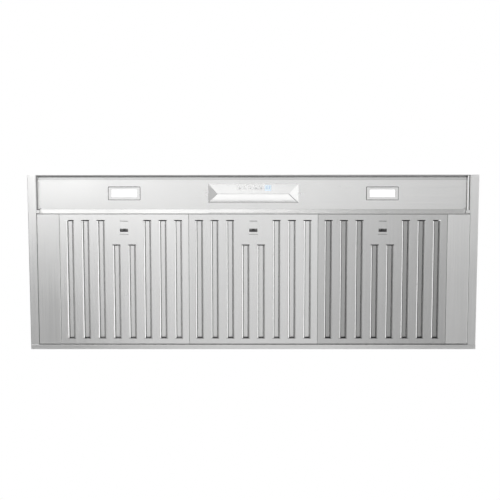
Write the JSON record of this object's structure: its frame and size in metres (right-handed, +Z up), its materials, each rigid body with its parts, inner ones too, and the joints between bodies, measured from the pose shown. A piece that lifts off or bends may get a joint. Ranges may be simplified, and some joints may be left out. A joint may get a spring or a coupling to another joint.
{
  "type": "range hood insert",
  "caption": "Stainless range hood insert with baffle filters, recessed lamp and control strip, hinged filter panels, enclosed blower and round top duct collar with backdraft flaps",
  "frame": {"origin": "middle of the underside, at the height of the flange strips and filter faces", "axes": "+X across the cooktop (the right of the picture), -Y toward the cook, +Z up toward the duct"},
  "size_m": [1.168, 0.461, 0.302],
  "materials": {
    "stainless": "brushed along the hood",
    "dark_stainless": "brushed, darker",
    "galvanised": "galvanised sheet, dull",
    "fastener_steel": "zinc plated",
    "spring_steel": "bright drawn wire",
    "wheel_steel": "satin",
    "shaft_steel": "ground",
    "core_steel": "varnished laminations",
    "motor_paint": "satin black",
    "lamp_bezel": "satin",
    "lamp_lens": "frosted",
    "lamp_body": "cast, with cooling ribs",
    "pod_plastic": "silver painted plastic",
    "button_plastic": "silver painted plastic",
    "window_plastic": "clear tinted",
    "circuit_board": "solder mask",
    "capacitor_case": "drawn can",
    "gasket": "closed cell",
    "gland": "moulded"
  },
  "bodies": {
    "hood": {"left_end_panel": "stainless", "right_end_panel": "stainless", "rear_trim": "stainless", "rear_panel": "galvanised", "plenum_front_wall": "galvanised", "top_panel": "galvanised", "front_cover": "galvanised", "front_lip": "dark_stainless", "control_plate": "stainless", "plate_ledges": "galvanised", "left_filler_panel": "stainless", "right_filler_panel": "stainless", "filter_rod": "galvanised", "shell_screws": "fastener_steel", "blower_cover": "galvanised", "scroll_wrap": "galvanised", "scroll_sides": "galvanised", "inlet_rings": "galvanised", "motor_can": "motor_paint", "motor_end_cap": "motor_paint", "motor_stator": "core_steel", "motor_bearings": "shaft_steel", "motor_bracket": "galvanised", "duct_collar": "galvanised", "damper_rod": "shaft_steel", "junction_box": "galvanised", "junction_cover": "galvanised", "cable_gland": "gland", "control_board": "circuit_board", "motor_capacitor": "capacitor_case", "lamp_bezels": "lamp_bezel", "lamp_lenses": "lamp_lens", "lamp_housings": "lamp_body", "lamp_gaskets": "gasket", "control_pod": "pod_plastic", "display_window": "window_plastic", "button_board": "circuit_board"},
    "blower_wheel": {"impeller_blades": "wheel_steel", "impeller_hub": "wheel_steel", "motor_shaft": "shaft_steel", "motor_rotor": "core_steel"},
    "left_flap": {"left_damper_flap": "galvanised"},
    "right_flap": {"right_damper_flap": "galvanised"},
    "left_filter": {"left_filter_face": "stainless", "left_filter_baffles": "stainless", "left_filter_spring": "spring_steel"},
    "left_latch": {"left_filter_latch": "stainless"},
    "middle_filter": {"middle_filter_face": "stainless", "middle_filter_baffles": "stainless", "middle_filter_spring": "spring_steel"},
    "middle_latch": {"middle_filter_latch": "stainless"},
    "right_filter": {"right_filter_face": "stainless", "right_filter_baffles": "stainless", "right_filter_spring": "spring_steel"},
    "right_latch": {"right_filter_latch": "stainless"},
    "power_button": {"power_button": "button_plastic"},
    "slower_button": {"slower_button": "button_plastic"},
    "faster_button": {"faster_button": "button_plastic"},
    "timer_button": {"timer_button": "button_plastic"},
    "light_button": {"light_button": "button_plastic"}
  },
  "joints": [
    {"name": "left_filter_hinge", "type": "hinge", "parent": "hood", "child": "left_filter", "pos_m": [0, 0.2125, 0.006], "axis": [1, 0, 0], "range_deg": [0, 80]},
    {"name": "left_latch_slide", "type": "slide", "parent": "left_filter", "child": "left_latch", "axis": [0, 1, 0], "range_m": [0, 0.006], "stiffness_N_per_m": 300, "springref_m": -0.004, "deforming": ["left_filter_spring"]},
    {"name": "middle_filter_hinge", "type": "hinge", "parent": "hood", "child": "middle_filter", "pos_m": [0, 0.2125, 0.006], "axis": [1, 0, 0], "range_deg": [0, 80]},
    {"name": "middle_latch_slide", "type": "slide", "parent": "middle_filter", "child": "middle_latch", "axis": [0, 1, 0], "range_m": [0, 0.006], "stiffness_N_per_m": 300, "springref_m": -0.004, "deforming": ["middle_filter_spring"]},
    {"name": "right_filter_hinge", "type": "hinge", "parent": "hood", "child": "right_filter", "pos_m": [0, 0.2125, 0.006], "axis": [1, 0, 0], "range_deg": [0, 80]},
    {"name": "right_latch_slide", "type": "slide", "parent": "right_filter", "child": "right_latch", "axis": [0, 1, 0], "range_m": [0, 0.006], "stiffness_N_per_m": 300, "springref_m": -0.004, "deforming": ["right_filter_spring"]},
    {"name": "power_button_press", "type": "slide", "parent": "hood", "child": "power_button", "axis": [0, 0.432, 0.9019], "range_m": [0, 0.001], "stiffness_N_per_m": 400, "springref_m": -0.002},
    {"name": "slower_button_press", "type": "slide", "parent": "hood", "child": "slower_button", "axis": [0, 0.432, 0.9019], "range_m": [0, 0.001], "stiffness_N_per_m": 400, "springref_m": -0.002},
    {"name": "faster_button_press", "type": "slide", "parent": "hood", "child": "faster_button", "axis": [0, 0.432, 0.9019], "range_m": [0, 0.001], "stiffness_N_per_m": 400, "springref_m": -0.002},
    {"name": "timer_button_press", "type": "slide", "parent": "hood", "child": "timer_button", "axis": [0, 0.432, 0.9019], "range_m": [0, 0.001], "stiffness_N_per_m": 400, "springref_m": -0.002},
    {"name": "light_button_press", "type": "slide", "parent": "hood", "child": "light_button", "axis": [0, 0.432, 0.9019], "range_m": [0, 0.001], "stiffness_N_per_m": 400, "springref_m": -0.002},
    {"name": "blower_wheel_spin", "type": "hinge", "parent": "hood", "child": "blower_wheel", "pos_m": [0, 0, 0.14], "axis": [1, 0, 0], "continuous": true},
    {"name": "left_flap_hinge", "type": "hinge", "parent": "hood", "child": "left_flap", "pos_m": [0, 0.051, 0.268], "axis": [0, 1, 0], "range_deg": [0, 80]},
    {"name": "right_flap_hinge", "type": "hinge", "parent": "hood", "child": "right_flap", "pos_m": [0, 0.051, 0.268], "axis": [0, -1, 0], "range_deg": [0, 80]}
  ]
}
